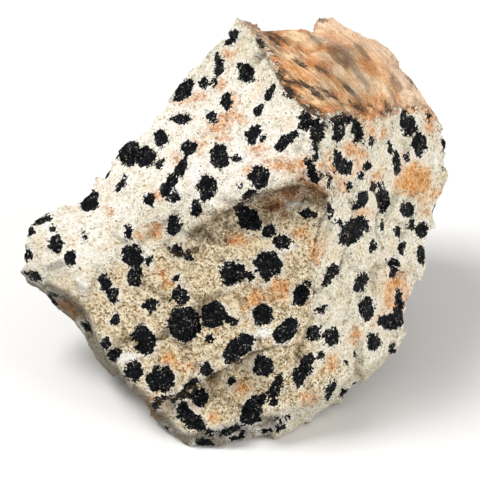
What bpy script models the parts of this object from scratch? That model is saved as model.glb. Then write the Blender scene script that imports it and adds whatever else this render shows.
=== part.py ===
"""A rough, broken block of dalmatian stone: one solid with flat-cleaved faces, a ledge across the
front, a weathered rind on top, and a broken base that it rests on. Metres, +Z up, front at -Y."""

import math

import bmesh
import bpy
from mathutils import Vector, noise
from mathutils.geometry import delaunay_2d_cdt

MM = 0.001

# Driving dimensions
WIDTH = 50.0 * MM  # across the front, the size of a hand specimen
SEEN_WIDTH = 444  # the same width in picture columns, measured on the picture plane
VIEW_ELEVATION = math.radians(35)  # the height of the eye above the horizon
EYE_DISTANCE = 400 * MM
PICTURE_CENTRE = 240  # column and row
CENTRE_HEIGHT = 22.7 * MM  # of the picture's centre above the ground

# The ground point under the middle of the rock, which becomes the origin.
STAND_ACROSS, STAND_BACK = -0.55 * MM, 11.5 * MM

# Surface
FACET_SIDE = 1.9 * MM  # the longest side of a finished triangle
REFINE_ROUNDS = 8
SWELL_SIZE, SWELL_DEPTH = 9.0 * MM, 0.4 * MM  # slow waves of a broken face
HACKLE_SIZE, HACKLE_DEPTH = 3.4 * MM, 0.2 * MM  # the rough break itself
HACKLE_MEAN = 0.6  # of the break's pattern, taken off so that it cuts in as much as it stands out
SMOOTHING_ROUNDS = 4

RIGHT = Vector((1, 0, 0))
UP = Vector((0, math.sin(VIEW_ELEVATION), math.cos(VIEW_ELEVATION)))
AWAY = Vector((0, math.cos(VIEW_ELEVATION), -math.sin(VIEW_ELEVATION)))
CENTRE = Vector((0, 0, CENTRE_HEIGHT))
PIXEL = WIDTH / SEEN_WIDTH

# Each corner of the seen side is a column, a row and a depth in mm behind the picture plane.
CORNERS = {
    "peak": (238, 21, 9.0),
    "notch": (316, 34, 12.5),
    "horn": (319, 17, 16.0),
    "rind_end": (430, 109, 17.0),
    "right_shoulder": (447, 143, 18.0),
    "waist": (430, 212, 17.0),
    "right_heel": (395, 348, 14.0),
    "toe": (188, 446, 5.8),
    "left_tip": (18, 260, 12.5),
    "keel_tip": (23, 271, 13.2),
    "near_corner": (321, 116, -5.0),
    "knee": (332, 197, -4.5),
    "ledge_west": (183, 242, 4.2),
    "step_west": (155, 401, 5.2),
    "step_east": (264, 348, -0.2),
    "step_foot_west": (164, 405, 6.3),
    "heel_front": (191, 436, 5),
}

# The silhouette, clockwise from the peak.
OUTLINE = [
    "peak", (250, 26, 9.5), (270, 29, 10.2), (288, 31, 10.8), (303, 28, 11.6), "notch",
    "horn", (334, 19, 16), (352, 30, 16.5), (375, 40, 17), (394, 56, 17.5), (415, 80, 17.5),
    (423, 98, 17), "rind_end", (436, 120, 17.5), "right_shoulder", (444, 154, 18),
    (447, 178, 19), (441, 193, 18.5), "waist", (432, 232, 17), (424, 252, 16.5),
    (425, 266, 17), (413, 288, 16), (406, 304, 15.5), (402, 314, 15), (404, 328, 15),
    "right_heel", (378, 370, 13), (349, 392, 11), (318, 416, 10), (289, 432, 8),
    (256, 441, 6.5), (222, 446, 5.5), "toe", (168, 432, 7), (153, 416, 8.5), (143, 400, 10),
    (128, 383, 12), (102, 360, 15), (80, 336, 17), (61, 312, 17.5), (40, 288, 16.5),
    "keel_tip", "left_tip", (22, 244, 12), (31, 224, 12.5), (45, 214, 13), (59, 208, 13.5),
    (76, 200, 14), (92, 188, 14), (108, 168, 13.5), (118, 153, 13), (127, 143, 13),
    (148, 130, 12.5), (154, 117, 12), (174, 96, 12), (190, 77, 11.5), (205, 62, 11),
    (216, 47, 10.5), (226, 37, 10),
]

# Broken edges of the seen side, which stay crisp.
SEEN_EDGES = {
    "rind_left": ["peak", (258, 38, 6), (274, 62, 2.5), (283, 86, -0.5), (303, 105, -3.5),
                  "near_corner"],
    "rind_right": ["near_corner", (338, 114, -2), (360, 117, 2), (380, 117, 6), (397, 111, 10),
                   (418, 110, 14), "rind_end"],
    "front_ridge": ["near_corner", (314, 130, -5.5), (313, 147, -5.8), (317, 163, -5.5),
                    (325, 180, -5), "knee", (328, 217, -3.2), (317, 234, -2.2),
                    (313, 258, -2), (306, 285, -1.8)],
    "ledge_lip": ["ledge_west", (197, 228, 2.7), (212, 217, 1), (230, 209, -0.5),
                  (246, 202, -2), (262, 192, -3.5), (283, 187, -4.8), (300, 180, -5.5),
                  (314, 184, -5.5), (325, 192, -5), "knee"],
    "ledge_foot": ["ledge_west", (205, 243, 3.3), (222, 238, 2.5), (250, 232, 1),
                   (275, 224, -0.1), (300, 224, -1.4), (317, 234, -2.2)],
    "keel": ["keel_tip", (35, 275, 12), (48, 282, 11), (65, 290, 9.8), (77, 299, 8.9),
             (88, 310, 8.1), (94, 320, 7.7), (96, 333, 7.3), (101, 345, 7), (109, 356, 6.7),
             (122, 376, 6.2), (138, 386, 5.9), "step_west"],
    "step_lip": ["step_west", (171, 397, 4.3), (190, 388, 3.4), (204, 379, 2.7),
                 (219, 371, 2), (236, 361, 1.3), (250, 354, 0.6), "step_east"],
    "step_foot": ["step_west", "step_foot_west", (175, 401, 5.9), (194, 392, 5.2),
                  (208, 383, 4.5), (223, 375, 3.8), (240, 365, 2.9), (255, 357, 1.5),
                  "step_east"],
    "toe_edge": ["step_foot_west", (172, 412, 6), (180, 423, 5.7), "heel_front"],
    "lower_edge": ["heel_front", (205, 431, 4.7), (230, 423, 4.1), (255, 415, 3.7),
                   (280, 409, 3.8), (305, 399, 4.3), (325, 388, 5.2), (345, 375, 6.8),
                   (365, 364, 9), (385, 352, 11.5), "right_heel"],
}

# Points that only bend the faces of the seen side.
SEEN_POINTS = [
    (180, 130, 8.5), (215, 90, 7.5), (245, 60, 6.5), (200, 120, 6), (235, 110, 3.5),
    (262, 100, 1.5), (280, 130, -1.5), (250, 150, -1), (220, 165, 1.5), (190, 190, 3.5),
    (150, 200, 6), (120, 210, 8), (90, 235, 9.5), (60, 238, 10.5), (40, 255, 10.8),
    (75, 270, 9), (110, 255, 7.4), (150, 240, 5.6), (130, 290, 6), (110, 320, 6.6),
    (150, 330, 5.2), (190, 300, 4), (240, 280, 1.6), (280, 270, -0.6), (220, 330, 2),
    (260, 310, 0.5), (180, 360, 3.8), (140, 360, 5.2), (290, 150, -4), (265, 172, -3),
    (214, 222, 2.8), (231, 216, 2.2), (248, 209, 1.6), (264, 201, 0.8), (284, 197, 0),
    (300, 191, -1), (314, 195, -2.2), (293, 325, -1), (284, 350, -0.2), (270, 385, 2.6),
    (300, 75, 2), (330, 95, 0.5), (330, 60, 6.5), (360, 95, 5), (360, 60, 10.5),
    (390, 80, 11), (345, 35, 13.5), (300, 45, 8), (345, 140, -1.5), (360, 170, 2),
    (350, 210, 0.8), (345, 250, 2), (335, 290, 2), (330, 330, 2.8), (320, 360, 3),
    (372, 140, 4.2), (395, 150, 9), (378, 185, 6.2), (392, 205, 10), (372, 235, 6.6),
    (388, 262, 10.2), (366, 285, 6.6), (380, 312, 9), (355, 325, 6), (362, 350, 8.4),
    (338, 225, -0.3), (345, 305, 4), (322, 318, 1.2), (309, 345, 1.4), (418, 150, 14),
    (412, 182, 14.6), (424, 195, 15), (405, 230, 12), (405, 262, 14), (396, 300, 13.6),
    (391, 320, 12.8), (375, 345, 9.5), (300, 370, 2), (345, 355, 5.5), (330, 370, 4.6),
]

# Corners of the hidden side, in mm: across, back and up. The base lies just under the ground,
# where the rock is broken off flat.
HIDDEN_CORNERS = {
    "back_crest": (4, 28, 29),
    "back_right": (15, 32, 21),
    "back_middle": (-1, 32, 17),
    "back_left": (-16, 19, 10),
    "low_left": (-15, 15, 2),
    "low_back": (-4, 26, 2),
    "low_right": (13, 22, 2),
    "right_low": (18, 14, 5),
    "spine_high": (1.6, 30.4, 23),
    "spine_low": (-3.4, 30.3, 10.5),
    "side_left": (4.6, 32.2, 17.6),
    "side_right": (9.6, 32, 20),
    "side_low": (15.2, 27.8, 11),
    "shoulder_back": (19.2, 29.2, 20.4),
    "behind_horn": (9.2, 28.6, 30),
}

HIDDEN_EDGES = {
    "back_spine": ["back_crest", "spine_high", "back_middle", "spine_low", "low_back"],
    "back_side": ["back_middle", "side_left", "side_right", "back_right", "side_low",
                  "low_right"],
}

# Behind the silhouette the rock turns in round a blunt shoulder.
SHOULDER_INSET = 0.93
SHOULDER_DEPTH = 3.0  # mm

BASE_LEVEL = -1.2  # mm
BASE_CORNERS = [
    (-12.5, 11), (-10, 18), (0, 23), (11, 19), (13, 9), (7, 2), (0, -2.5), (-5.5, -2), (0, 9),
]


def from_picture(column, row, depth):
    """The point seen at a column and row of the picture, depth mm behind the picture plane."""
    away = depth * MM
    spread = PIXEL * (1 + away / EYE_DISTANCE)
    across = (column - PICTURE_CENTRE) * spread
    rise = (PICTURE_CENTRE - row) * spread
    return CENTRE + RIGHT * across + UP * rise + AWAY * away


def to_picture(point):
    """The column and row at which the eye sees a point."""
    offset = point - CENTRE
    spread = PIXEL * (1 + offset.dot(AWAY) / EYE_DISTANCE)
    column = PICTURE_CENTRE + offset.dot(RIGHT) / spread
    row = PICTURE_CENTRE - offset.dot(UP) / spread
    return Vector((column, row))


def point_of(corner):
    """A corner's place: by name, or by column, row and depth."""
    if corner in CORNERS:
        return from_picture(*CORNERS[corner])
    if corner in HIDDEN_CORNERS:
        return Vector(HIDDEN_CORNERS[corner]) * MM
    return from_picture(*corner)


def shoulder_points():
    """The hidden points just behind the silhouette, their depths evened out along it."""
    corners = [CORNERS.get(corner, corner) for corner in OUTLINE]
    points = []
    for i, (column, row, _) in enumerate(corners):
        if OUTLINE[i] in ("notch", "horn"):
            continue
        beside = [corners[(i + step) % len(corners)][2] for step in (-2, -1, 0, 1, 2)]
        column = PICTURE_CENTRE + (column - PICTURE_CENTRE) * SHOULDER_INSET
        row = PICTURE_CENTRE + (row - PICTURE_CENTRE) * SHOULDER_INSET
        points.append(from_picture(column, row, sum(beside) / len(beside) + SHOULDER_DEPTH))
    return points


def sheet_triangles(edges, loose_points):
    """One side of the rock: its points, its triangles, and its crisp edges as pairs of points."""
    points = [point_of(corner) for corner in OUTLINE]
    place = {corner: i for i, corner in enumerate(OUTLINE)}
    crisp = []
    for path in edges.values():
        for corner in path:
            if corner not in place:
                place[corner] = len(points)
                points.append(point_of(corner))
        crisp += [(place[a], place[b]) for a, b in zip(path, path[1:])]
    points += loose_points
    flat = [to_picture(point) for point in points]
    rim = list(range(len(OUTLINE)))
    _, _, triangles, first_of, _, _ = delaunay_2d_cdt(flat, crisp, [rim], 1, 1e-4)
    triangles = [[first_of[i][0] for i in triangle] for triangle in triangles]
    return points, triangles, crisp


def add_sheet(bm, sheet, rim_verts, facing_eye):
    """Adds one side of the rock to the mesh, sharing the silhouette with the other side."""
    points, triangles, crisp = sheet
    verts = rim_verts + [bm.verts.new(point) for point in points[len(rim_verts):]]
    for triangle in triangles:
        corners = [verts[i] for i in triangle]
        face = bm.faces.new(corners)
        face.normal_update()
        if (face.normal.dot(AWAY) < 0) != facing_eye:
            face.normal_flip()
    for a, b in crisp:
        edge = bm.edges.get((verts[a], verts[b]))
        if edge:
            edge.smooth = False


def rough_block():
    """The bare block: every fracture face in a few large triangles."""
    bm = bmesh.new()
    rim_verts = [bm.verts.new(point_of(corner)) for corner in OUTLINE]
    seen = sheet_triangles(SEEN_EDGES, [from_picture(*p) for p in SEEN_POINTS])
    base = [Vector((x, y, BASE_LEVEL)) * MM for x, y in BASE_CORNERS]
    loose = [point_of(name) for name in HIDDEN_CORNERS if not in_hidden_edge(name)]
    hidden = sheet_triangles(HIDDEN_EDGES, base + loose + shoulder_points())
    add_sheet(bm, seen, rim_verts, facing_eye=True)
    add_sheet(bm, hidden, rim_verts, facing_eye=False)
    for a, b in zip(rim_verts, rim_verts[1:] + rim_verts[:1]):
        bm.edges.get((a, b)).smooth = False
    return bm


def in_hidden_edge(name):
    return any(name in path for path in HIDDEN_EDGES.values())


def refine(bm):
    """Splits long edges until the triangles are small and even."""
    for _ in range(REFINE_ROUNDS):
        longest = max(edge.calc_length() for edge in bm.edges)
        limit = max(FACET_SIDE, longest * 0.6)
        long_edges = [edge for edge in bm.edges if edge.calc_length() > limit]
        bmesh.ops.subdivide_edges(bm, edges=long_edges, cuts=1)
        bmesh.ops.triangulate(bm, faces=bm.faces[:], quad_method="SHORT_EDGE")
        turnable = [edge for edge in bm.edges if edge.smooth]
        bmesh.ops.beautify_fill(bm, faces=bm.faces[:], edges=turnable, method="AREA")


def relax(bm):
    """Lets faces bow gently while the broken edges stay where they are."""
    free = [v for v in bm.verts if all(e.smooth for e in v.link_edges)]
    for _ in range(SMOOTHING_ROUNDS):
        bmesh.ops.smooth_vert(
            bm, verts=free, factor=0.5, use_axis_x=True, use_axis_y=True, use_axis_z=True
        )


def roughen(bm):
    """Moves each point along its normal by the waves and hackles of a real break."""
    bm.normal_update()
    moves = []
    for vert in bm.verts:
        swell = noise.fractal(vert.co / SWELL_SIZE, 0.7, 2.1, 3)
        hackle = noise.ridged_multi_fractal(vert.co / HACKLE_SIZE, 0.9, 2.2, 2, 1.0, 1.4)
        rise = swell * SWELL_DEPTH + (hackle - HACKLE_MEAN) * HACKLE_DEPTH
        moves.append(vert.normal * rise)
    for vert, move in zip(bm.verts, moves):
        vert.co += move


def break_base(bm):
    """Cuts the rock off flat at the ground, as it is broken there."""
    parts = bm.verts[:] + bm.edges[:] + bm.faces[:]
    cut = bmesh.ops.bisect_plane(
        bm, geom=parts, dist=1e-6, plane_co=(0, 0, 0), plane_no=(0, 0, -1), clear_outer=True
    )
    rim = [e for e in cut["geom_cut"] if isinstance(e, bmesh.types.BMEdge)]
    bmesh.ops.contextual_create(bm, geom=rim)
    bmesh.ops.triangulate(bm, faces=bm.faces[:])


def stand_over_origin(bm):
    """Moves the rock so that the middle of its footprint is the origin."""
    bmesh.ops.translate(bm, verts=bm.verts, vec=(-STAND_ACROSS, -STAND_BACK, 0))


def stone():
    """Cream microgranite, matt and grainy."""
    material = bpy.data.materials.new("dalmatian_stone")
    material.use_nodes = True
    shader = material.node_tree.nodes["Principled BSDF"]
    shader.inputs["Base Color"].default_value = (0.70, 0.62, 0.50, 1)
    shader.inputs["Roughness"].default_value = 0.85
    shader.inputs["Metallic"].default_value = 0.0
    return material


def main():
    for obj in list(bpy.data.objects):
        bpy.data.objects.remove(obj)
    bm = rough_block()
    refine(bm)
    relax(bm)
    roughen(bm)
    break_base(bm)
    stand_over_origin(bm)
    mesh = bpy.data.meshes.new("rock")
    bm.to_mesh(mesh)
    bm.free()
    mesh.materials.append(stone())
    rock = bpy.data.objects.new("rock", mesh)
    bpy.context.scene.collection.objects.link(rock)


main()
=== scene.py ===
# %% [markdown]
# # A rough block of dalmatian stone
#
# Dalmatian stone is a pale, sugary rock of quartz and feldspar, dotted with black grains of a
# mineral called amphibole and stained orange by rust. This lesson dresses a plain solid of one
# broken block: first its rough skin, then its spots and stains, then the stone itself as a
# material, and last a small studio. The solid arrives at its real size, in metres.

import math

import bmesh
import bpy
import mathutils
import numpy as np
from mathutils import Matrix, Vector
from mathutils.bvhtree import BVHTree


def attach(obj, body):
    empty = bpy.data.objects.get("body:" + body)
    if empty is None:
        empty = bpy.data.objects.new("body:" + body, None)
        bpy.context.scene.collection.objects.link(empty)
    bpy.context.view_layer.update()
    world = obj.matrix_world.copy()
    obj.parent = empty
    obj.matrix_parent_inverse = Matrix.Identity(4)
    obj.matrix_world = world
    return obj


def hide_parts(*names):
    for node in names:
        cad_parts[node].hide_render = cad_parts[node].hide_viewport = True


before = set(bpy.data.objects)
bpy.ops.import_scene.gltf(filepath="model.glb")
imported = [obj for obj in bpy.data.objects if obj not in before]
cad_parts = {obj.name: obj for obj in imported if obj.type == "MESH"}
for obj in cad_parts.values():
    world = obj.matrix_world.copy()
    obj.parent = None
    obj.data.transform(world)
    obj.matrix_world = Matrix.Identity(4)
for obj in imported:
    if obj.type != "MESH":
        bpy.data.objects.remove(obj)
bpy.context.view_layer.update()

MM = 0.001

# %% [markdown]
# ## Small helpers
#
# Colours are written the way a paint program shows them, as sRGB hex. Blender mixes light in
# linear values, so one function turns them. Another adds a node with its settings and links,
# which keeps the long node trees below readable: what follows the kind fills the node's sockets
# in order, and where a whole node is given, its first output is linked.


# %% Colours and nodes
def linear(code):
    """A Blender colour from an sRGB hex code such as #e8dfd0."""
    channels = [int(code[i:i + 2], 16) / 255 for i in (1, 3, 5)]
    return [c / 12.92 if c <= 0.04045 else ((c + 0.055) / 1.055) ** 2.4 for c in channels] + [1]


def add_node(tree, kind, *values, **inputs):
    """A new node of a kind, which is a Blender type or a pair of a type and its settings.

    Values fill its sockets in order, and inputs by name. Each is a number, a hex colour, a
    socket or a node. The setting stops gives a colour ramp's places and colours.
    """
    blender_type, settings = kind if isinstance(kind, tuple) else (kind, {})
    node = tree.nodes.new(blender_type)
    for name, value in settings.items():
        if name != "stops":
            setattr(node, name, value)
            continue
        elements = node.color_ramp.elements
        while len(elements) < len(value):
            elements.new(0.5)
        for element, (place, code) in zip(elements, value):
            element.position = place
            element.color = linear(code)
    in_use = [socket for socket in node.inputs if socket.enabled]
    by_name = {socket.name.replace(" ", "_"): socket for socket in in_use}
    filled = list(zip(in_use, values)) + [(by_name[name], inputs[name]) for name in inputs]
    for socket, value in filled:
        if isinstance(value, bpy.types.Node):
            value = next(output for output in value.outputs if output.enabled)
        if isinstance(value, bpy.types.NodeSocket):
            tree.links.new(value, socket)
        elif isinstance(value, str) and value.startswith("#"):
            socket.default_value = linear(value)
        else:
            socket.default_value = value
    return node


print("half-bright grey, linear:", round(linear("#808080")[0], 3))

# %% Kinds of nodes, most with their settings
MATH = "ShaderNodeMath"
VECTOR_MATH = "ShaderNodeVectorMath"
ADD = (MATH, {"operation": "ADD"})
SUBTRACT = (MATH, {"operation": "SUBTRACT"})
SUBTRACT_HELD = (MATH, {"operation": "SUBTRACT", "use_clamp": True})  # held from 0 to 1
MULTIPLY = (MATH, {"operation": "MULTIPLY"})
MULTIPLY_HELD = (MATH, {"operation": "MULTIPLY", "use_clamp": True})
TIMES_PLUS = (MATH, {"operation": "MULTIPLY_ADD"})  # the first times the second, plus the third
TIMES_PLUS_HELD = (MATH, {"operation": "MULTIPLY_ADD", "use_clamp": True})
DIVIDE = (MATH, {"operation": "DIVIDE"})
LARGER = (MATH, {"operation": "MAXIMUM"})
BELOW = (MATH, {"operation": "LESS_THAN"})
ABOVE = (MATH, {"operation": "GREATER_THAN"})
SIZE_OF = (MATH, {"operation": "ABSOLUTE"})
ADD_VECTORS = (VECTOR_MATH, {"operation": "ADD"})
SUBTRACT_VECTORS = (VECTOR_MATH, {"operation": "SUBTRACT"})
SCALE = (VECTOR_MATH, {"operation": "SCALE"})
DOT = (VECTOR_MATH, {"operation": "DOT_PRODUCT"})
MIX = ("ShaderNodeMix", {"data_type": "RGBA"})  # share, first colour and second colour
NOISE = ("ShaderNodeTexNoise", {"noise_dimensions": "4D"})  # place, seed, scale, detail, roughness
CELLS = "ShaderNodeTexVoronoi"
SPAN = "ShaderNodeMapRange"  # value, a span's start and end, and what they turn into, or 0 and 1

# %% [markdown]
# ## The camera
#
# The camera comes first, because the marks on the stone are placed as the eye sees them. It
# looks down at 35 degrees from 40 cm away through a long lens, which flattens the block the way
# a close-up photograph does. A picture 480 pixels high shows about 54 mm of stone.

# %% Camera
VIEW_ELEVATION = math.radians(35)
EYE_DISTANCE = 400 * MM
PICTURE_SIZE = 480
PICTURE_CENTRE = PICTURE_SIZE / 2
PIXEL = 50.0 * MM / 444  # the stone is 50 mm wide and 444 pixels wide
CENTRE = np.array([0.55, -11.5, 22.7]) * MM  # the point of the stone in the picture's middle
SENSOR_WIDTH = 36.0

RIGHT = np.array([1.0, 0.0, 0.0])
UP = np.array([0.0, math.sin(VIEW_ELEVATION), math.cos(VIEW_ELEVATION)])
AWAY = np.array([0.0, math.cos(VIEW_ELEVATION), -math.sin(VIEW_ELEVATION)])
EYE = CENTRE - AWAY * EYE_DISTANCE

camera_data = bpy.data.cameras.new("camera")
camera_data.sensor_width = SENSOR_WIDTH
camera_data.lens = SENSOR_WIDTH * EYE_DISTANCE / (PICTURE_SIZE * PIXEL)
camera_data.clip_start = 10 * MM
camera = bpy.data.objects.new("camera", camera_data)
camera.location = EYE
camera.rotation_euler = Vector(AWAY).to_track_quat("-Z", "Y").to_euler()
bpy.context.scene.collection.objects.link(camera)
bpy.context.scene.camera = camera
print("lens:", round(camera_data.lens), "mm")


def seen_at(points):
    """Columns, rows and depths, in mm, at which the eye sees points."""
    offset = points - CENTRE
    depth = offset @ AWAY
    spread = PIXEL * (1 + depth / EYE_DISTANCE)
    column = PICTURE_CENTRE + offset @ RIGHT / spread
    row = PICTURE_CENTRE - offset @ UP / spread
    return column, row, depth / MM


# %% [markdown]
# ## The broken skin
#
# The solid is made of triangles over a millimetre wide, which catch the light like cut paper.
# A voxel remesh redraws it with an even net several times finer, and a little smoothing melts
# the old triangles away while the big broken edges stay. Sculpting the fine relief by hand would
# take days, so a later step leaves it to a rule.

# %% An even, fine net
VOXEL = 0.288 * MM  # about the finest net that stays under 200,000 triangles
MELT_SHARE = 0.5
MELT_ROUNDS = 2
DOUBLES_GAP = 0.001 * MM

merged = bmesh.new()
merged.from_mesh(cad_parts["rock"].data)
bmesh.ops.remove_doubles(merged, verts=merged.verts, dist=DOUBLES_GAP)
skin_mesh = bpy.data.meshes.new("rock_skin")
merged.to_mesh(skin_mesh)
merged.free()
skin = bpy.data.objects.new("rock_skin", skin_mesh)
bpy.context.scene.collection.objects.link(skin)

remesh = skin.modifiers.new("remesh", "REMESH")
remesh.mode = "VOXEL"
remesh.voxel_size = VOXEL
melt = skin.modifiers.new("melt", "SMOOTH")
melt.factor = MELT_SHARE
melt.iterations = MELT_ROUNDS


# %% Points of the skin
def bake_modifiers(obj):
    """Turns what the modifiers make into the object's own plain mesh."""
    evaluated = obj.evaluated_get(bpy.context.evaluated_depsgraph_get())
    mesh = bpy.data.meshes.new_from_object(evaluated)
    obj.modifiers.clear()
    obj.data = mesh
    return mesh


def points_of(mesh):
    """Places and normals of a mesh's points."""
    flat_places = np.empty(len(mesh.vertices) * 3)
    flat_normals = np.empty(len(mesh.vertices) * 3)
    mesh.vertices.foreach_get("co", flat_places)
    mesh.vertices.foreach_get("normal", flat_normals)
    return flat_places.reshape(-1, 3), flat_normals.reshape(-1, 3)


def keep_on_points(name, values):
    """Stores one number or vector for each point of the skin, for a tree or material to read."""
    kind = "FLOAT_VECTOR" if values.ndim == 2 else "FLOAT"
    attribute = skin_mesh.attributes.new(name, kind, "POINT")
    field = "vector" if values.ndim == 2 else "value"
    attribute.data.foreach_set(field, values.astype(np.float32).ravel())


skin_mesh = bake_modifiers(skin)
places, normals = points_of(skin_mesh)
print("skin:", len(skin_mesh.polygons), "faces, up to", 2 * len(skin_mesh.polygons), "triangles")

# %% [markdown]
# ## Drawing on the stone
#
# The shapes below are drawn the way a painter would, as lines and outlines in the picture that
# the eye sees, in pixels. Each point of the net knows its own column and row, so its distance
# from a line or an outline says how much of that shape it takes.

# %% Lines and outlines
FADE_BACK = 4  # how fast a mark fades where the surface turns away from the eye
FAR_OFF = 9.0  # mm, the distance of a point that is near no mark
RUGGED_BAND = 14  # pixels over which the roughness changes
columns, rows, depths = seen_at(places)
facing_back = np.clip((normals @ AWAY) * FADE_BACK, 0, 1)


def line_distance(line):
    """Distance in pixels of each point of the skin from a line, as the eye sees both."""
    nearest = np.full(len(places), np.inf)
    for start, end in zip(np.array(line[:-1], float), np.array(line[1:], float)):
        way = end - start
        along = ((columns - start[0]) * way[0] + (rows - start[1]) * way[1]) / (way @ way)
        along = np.clip(along, 0, 1)
        gap = np.hypot(columns - start[0] - along * way[0], rows - start[1] - along * way[1])
        nearest = np.minimum(nearest, gap)
    return nearest


def soft_inside(outline, softness):
    """1 well inside a closed outline, 0 well outside, over a band of pixels."""
    inside = np.zeros(len(places), dtype=bool)
    for a, b in zip(outline, outline[1:] + outline[:1]):
        crosses = (a[1] > rows) != (b[1] > rows)
        slope = (b[0] - a[0]) / (b[1] - a[1]) if b[1] != a[1] else 0.0
        inside ^= crosses & (columns < a[0] + (rows - a[1]) * slope)
    distance = line_distance(outline + outline[:1])
    return np.clip(0.5 - np.where(inside, -distance, distance) / softness, 0, 1)


RUGGED_OUTLINES = [  # how much rougher or calmer, and where
    (2.3, [(180, 246), (188, 224), (212, 208), (240, 198), (262, 186), (300, 174), (338, 184),
           (338, 212), (300, 212), (270, 214), (240, 226), (218, 248), (192, 258)]),
    (2.8, [(176, 262), (182, 214), (216, 202), (238, 214), (226, 250), (200, 266)]),
    (-0.45, [(425, 100), (460, 100), (460, 400), (380, 400), (404, 340), (412, 240)]),
    (-0.35, [(100, 120), (240, 0), (240, 60), (150, 150), (110, 200), (60, 215)]),
    (0.8, [(152, 408), (178, 388), (204, 376), (236, 354), (262, 342), (272, 352), (240, 374),
           (206, 394), (178, 410)]),
    (-0.5, [(10, 200), (60, 200), (92, 236), (92, 290), (40, 285), (10, 270)]),
]
rugged = np.zeros(len(places))
for strength, outline in RUGGED_OUTLINES:
    share = strength * soft_inside(outline, RUGGED_BAND) * (1 - facing_back)
    rugged = np.where(np.abs(share) > np.abs(rugged), share, rugged)
keep_on_points("rugged", rugged)
print("rugged from", round(float(rugged.min()), 2), "to", round(float(rugged.max()), 2))

# %% [markdown]
# ## A broken face from Geometry Nodes
#
# A fresh break in this rock is a patchwork of small flat facets at all angles, with ragged steps
# between them, and grit over all. Geometry Nodes can make that by a rule. A Voronoi texture
# shares the surface out into cells, and each cell's random colour is used as a lean, so that the
# cell becomes one tilted facet. Noise bends the cells' borders first, or they would be straight.
# Two sizes of facet and one layer of grit are added up and pushed along the normal. The worn
# top, which the calm side points out, gets less of it, and the crumbling ledge more. The inputs
# carry names, so that the sizes can be changed later.

# %% The relief tree
BEND_SEED = 3.1
GRIT_SEED = 1.7
CRUMBLED = 0.62  # the roughness of both noises
CALM_STARTS, CALM_FULL = 0.8, 0.97  # how squarely a face looks to the calm side
CALM_SHARE = 0.35  # how much of the relief the calm side keeps


def relief_tree():
    """The Geometry Nodes tree that breaks a smooth skin into facets, chips and grit."""
    tree = bpy.data.node_groups.new("broken_relief", "GeometryNodeTree")
    face = tree.interface
    face.new_socket("Geometry", in_out="INPUT", socket_type="NodeSocketGeometry")
    for name in ("Facet Size", "Facet Slope", "Chip Size", "Chip Slope", "Bend", "Grit Size",
                 "Grit Depth"):
        face.new_socket(name, in_out="INPUT", socket_type="NodeSocketFloat")
    face.new_socket("Calm Side", in_out="INPUT", socket_type="NodeSocketVector")
    face.new_socket("Finish", in_out="INPUT", socket_type="NodeSocketMaterial")
    face.new_socket("Geometry", in_out="OUTPUT", socket_type="NodeSocketGeometry")
    given = tree.nodes.new("NodeGroupInput").outputs
    end = tree.nodes.new("NodeGroupOutput")
    place = add_node(tree, "GeometryNodeInputPosition")
    normal = add_node(tree, "GeometryNodeInputNormal")
    half = (0.5, 0.5, 0.5)

    chips_per_metre = add_node(tree, DIVIDE, 1.0, given["Chip Size"])
    bend = add_node(tree, NOISE, place, BEND_SEED, chips_per_metre, 2.0, CRUMBLED)
    bend = add_node(tree, SUBTRACT_VECTORS, bend.outputs["Color"], half)
    bend = add_node(tree, SCALE, bend, given["Bend"])
    bent = add_node(tree, ADD_VECTORS, place, bend)

    def facets(size, slope):
        """How high a patchwork of leaning facets stands."""
        cells_per_metre = add_node(tree, DIVIDE, 1.0, size)
        cell = add_node(tree, CELLS, bent, cells_per_metre)
        lean = add_node(tree, SUBTRACT_VECTORS, cell.outputs["Color"], half)
        from_middle = add_node(tree, SUBTRACT_VECTORS, bent, cell.outputs["Position"])
        rise = add_node(tree, DOT, lean, from_middle)
        return add_node(tree, MULTIPLY, rise, slope)

    broad = facets(given["Facet Size"], given["Facet Slope"])
    small = facets(given["Chip Size"], given["Chip Slope"])
    grits_per_metre = add_node(tree, DIVIDE, 1.0, given["Grit Size"])
    grit = add_node(tree, NOISE, place, GRIT_SEED, grits_per_metre, 3.0, CRUMBLED)
    grit = add_node(tree, SUBTRACT, grit, 0.5)
    rough = add_node(tree, TIMES_PLUS, grit, given["Grit Depth"], small)
    rugged = add_node(tree, "GeometryNodeInputNamedAttribute", "rugged")
    ruggedness = add_node(tree, ADD, rugged, 1.0)
    height = add_node(tree, TIMES_PLUS, rough, ruggedness, broad)

    towards_calm = add_node(tree, DOT, normal, given["Calm Side"])
    wildness = add_node(tree, SPAN, towards_calm, CALM_STARTS, CALM_FULL, 1.0, CALM_SHARE)
    height = add_node(tree, MULTIPLY, height, wildness)
    push = add_node(tree, SCALE, normal, height)
    moved = add_node(tree, "GeometryNodeSetPosition", given["Geometry"], Offset=push)
    real = add_node(tree, "GeometryNodeRealizeInstances", moved)
    dressed = add_node(tree, "GeometryNodeSetMaterial", real, Material=given["Finish"])
    tree.links.new(dressed.outputs[0], end.inputs[0])
    return tree


def set_inputs(modifier, values):
    """Gives a Geometry Nodes modifier its inputs by name."""
    for item in modifier.node_group.interface.items_tree:
        if item.in_out == "INPUT" and item.name in values:
            modifier[item.identifier] = values[item.name]


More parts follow.
